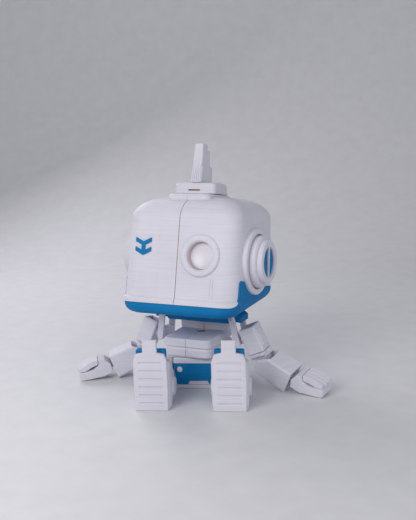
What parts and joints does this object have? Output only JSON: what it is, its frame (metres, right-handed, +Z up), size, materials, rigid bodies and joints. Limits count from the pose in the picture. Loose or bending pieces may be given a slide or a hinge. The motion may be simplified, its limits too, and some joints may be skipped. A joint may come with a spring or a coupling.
{
  "type": "humanoid robot kit",
  "caption": "Desk-sized printed humanoid robot kit sitting on the floor, with a boxy helmet head, round camera eye, drum ears, antenna fin and servo-jointed arms and legs.",
  "frame": {"origin": "on the floor under the pelvis, on the waist axis", "axes": "+Z up, the robot faces -Y, +X towards its own left"},
  "size_m": [0.2572, 0.1659, 0.2351],
  "materials": {
    "white_print": "fine horizontal print layers, matt",
    "blue_print": "fine horizontal print layers, matt",
    "dark_print": "fine print layers, matt",
    "servo_case": "moulded, satin",
    "battery_wrap": "heat-shrink wrap",
    "circuit_board": "solder mask",
    "eye_dish": "satin diffuser"
  },
  "bodies": {
    "pelvis": {"pelvis_shell": "white_print", "pelvis_front_panel": "blue_print", "pelvis_inlay": "white_print", "pelvis_emblem": "white_print", "pelvis_rear_cover": "blue_print", "waist_servo": "servo_case", "hip_servo_pair": "servo_case"},
    "torso": {"torso_shell_left": "white_print", "torso_shell_right": "white_print", "waist_hub": "dark_print", "battery_pack": "battery_wrap", "shoulder_yoke": "blue_print"},
    "neck": {"neck_post": "dark_print"},
    "head": {"head_shell_left": "white_print", "head_shell_right": "white_print", "head_jaw": "blue_print", "neck_cradle": "dark_print", "neck_servo": "servo_case", "head_controller": "circuit_board", "eye_ring": "white_print", "eye_lens": "eye_dish", "ear_drum_left": "white_print", "ear_cap_left": "white_print", "ear_disc_left": "blue_print", "ear_drum_right": "white_print", "ear_cap_right": "white_print", "ear_disc_right": "blue_print", "antenna_plinth": "white_print", "antenna_block": "white_print", "antenna_fin": "white_print", "face_badge": "blue_print"},
    "bracket_left": {"shoulder_bracket_left": "white_print"},
    "upper_arm_left": {"upper_arm_shell_left": "white_print", "upper_arm_servo_left": "servo_case"},
    "elbow_left": {"elbow_block_left": "white_print"},
    "forearm_left": {"forearm_shell_left": "white_print", "forearm_servo_left": "servo_case"},
    "hand_left": {"hand_palm_left": "white_print", "hand_fingers_left": "white_print"},
    "thigh_left": {"thigh_shell_left": "white_print"},
    "shin_left": {"shin_link_left": "white_print"},
    "foot_left": {"foot_sole_left": "white_print", "foot_shell_left": "white_print", "foot_instep_left": "blue_print", "ankle_axle_left": "white_print"},
    "bracket_right": {"shoulder_bracket_right": "white_print"},
    "upper_arm_right": {"upper_arm_shell_right": "white_print", "upper_arm_servo_right": "servo_case"},
    "elbow_right": {"elbow_block_right": "white_print"},
    "forearm_right": {"forearm_shell_right": "white_print", "forearm_servo_right": "servo_case"},
    "hand_right": {"hand_palm_right": "white_print", "hand_fingers_right": "white_print"},
    "thigh_right": {"thigh_shell_right": "white_print"},
    "shin_right": {"shin_link_right": "white_print"},
    "foot_right": {"foot_sole_right": "white_print", "foot_shell_right": "white_print", "foot_instep_right": "blue_print", "ankle_axle_right": "white_print"}
  },
  "joints": [
    {"name": "waist_turn", "type": "hinge", "parent": "pelvis", "child": "torso", "pos_m": [0, 0, 0], "axis": [0, 0, 1], "range_deg": [-10, 36]},
    {"name": "neck_turn", "type": "hinge", "parent": "torso", "child": "neck", "pos_m": [0, 0, 0], "axis": [0, 0, 1], "range_deg": [-45, 45]},
    {"name": "neck_tilt", "type": "hinge", "parent": "neck", "child": "head", "pos_m": [0, 0, 0.092], "axis": [0.9478, -0.319, 0], "range_deg": [-4, 6]},
    {"name": "shoulder_lift_left", "type": "hinge", "parent": "torso", "child": "bracket_left", "pos_m": [0.03601, -0.01212, 0.067], "axis": [-0.319, -0.9478, 0], "range_deg": [-5, 15]},
    {"name": "shoulder_swing_left", "type": "hinge", "parent": "bracket_left", "child": "upper_arm_left", "pos_m": [0.03929, -0.01744, 0.04553], "axis": [-0.9249, 0.3113, -0.2181], "range_deg": [-30, 60]},
    {"name": "arm_turn_left", "type": "hinge", "parent": "upper_arm_left", "child": "elbow_left", "pos_m": [0.0524, -0.02215, 0.0516], "axis": [0.4085, -0.0382, -0.912], "range_deg": [-40, 50]},
    {"name": "elbow_left", "type": "hinge", "parent": "elbow_left", "child": "forearm_left", "pos_m": [0.0636, -0.0232, 0.02661], "axis": [-0.4499, -0.8777, -0.1648], "range_deg": [-30, 26]},
    {"name": "wrist_left", "type": "hinge", "parent": "forearm_left", "child": "hand_left", "pos_m": [0.08963, -0.03388, 0.01246], "axis": [-0.4499, -0.8777, -0.1648], "range_deg": [-30, 6]},
    {"name": "hip_left", "type": "hinge", "parent": "pelvis", "child": "thigh_left", "pos_m": [0.0353, -0.016, 0.016], "axis": [-1, 0, 0], "range_deg": [-90, 10]},
    {"name": "knee_left", "type": "hinge", "parent": "thigh_left", "child": "shin_left", "pos_m": [0.0353, -0.043, 0.016], "axis": [1, 0, 0], "range_deg": [0, 80]},
    {"name": "ankle_left", "type": "hinge", "parent": "shin_left", "child": "foot_left", "pos_m": [0.0353, -0.07, 0.016], "axis": [-1, 0, 0], "range_deg": [-20, 25]},
    {"name": "shoulder_lift_right", "type": "hinge", "parent": "torso", "child": "bracket_right", "pos_m": [-0.03601, 0.01212, 0.067], "axis": [0.319, 0.9478, 0], "range_deg": [-5, 18]},
    {"name": "shoulder_swing_right", "type": "hinge", "parent": "bracket_right", "child": "upper_arm_right", "pos_m": [-0.03994, 0.00922, 0.04518], "axis": [-0.9401, 0.3164, 0.1271], "range_deg": [-45, 45]},
    {"name": "arm_turn_right", "type": "hinge", "parent": "upper_arm_right", "child": "elbow_right", "pos_m": [-0.05343, 0.0144, 0.04989], "axis": [0.3601, 0.0942, 0.9281], "range_deg": [-60, 25]},
    {"name": "elbow_right", "type": "hinge", "parent": "elbow_right", "child": "forearm_right", "pos_m": [-0.0633, 0.01182, 0.02446], "axis": [-0.2663, 0.9639, 0.0055], "range_deg": [-35, 19]},
    {"name": "wrist_right", "type": "hinge", "parent": "forearm_right", "child": "hand_right", "pos_m": [-0.09173, 0.00403, 0.01335], "axis": [-0.2663, 0.9639, 0.0055], "range_deg": [-20, 15]},
    {"name": "hip_right", "type": "hinge", "parent": "pelvis", "child": "thigh_right", "pos_m": [-0.0353, -0.016, 0.016], "axis": [-1, 0, 0], "range_deg": [-90, 10]},
    {"name": "knee_right", "type": "hinge", "parent": "thigh_right", "child": "shin_right", "pos_m": [-0.0353, -0.043, 0.016], "axis": [1, 0, 0], "range_deg": [0, 80]},
    {"name": "ankle_right", "type": "hinge", "parent": "shin_right", "child": "foot_right", "pos_m": [-0.0353, -0.07, 0.016], "axis": [-1, 0, 0], "range_deg": [-20, 25]}
  ]
}
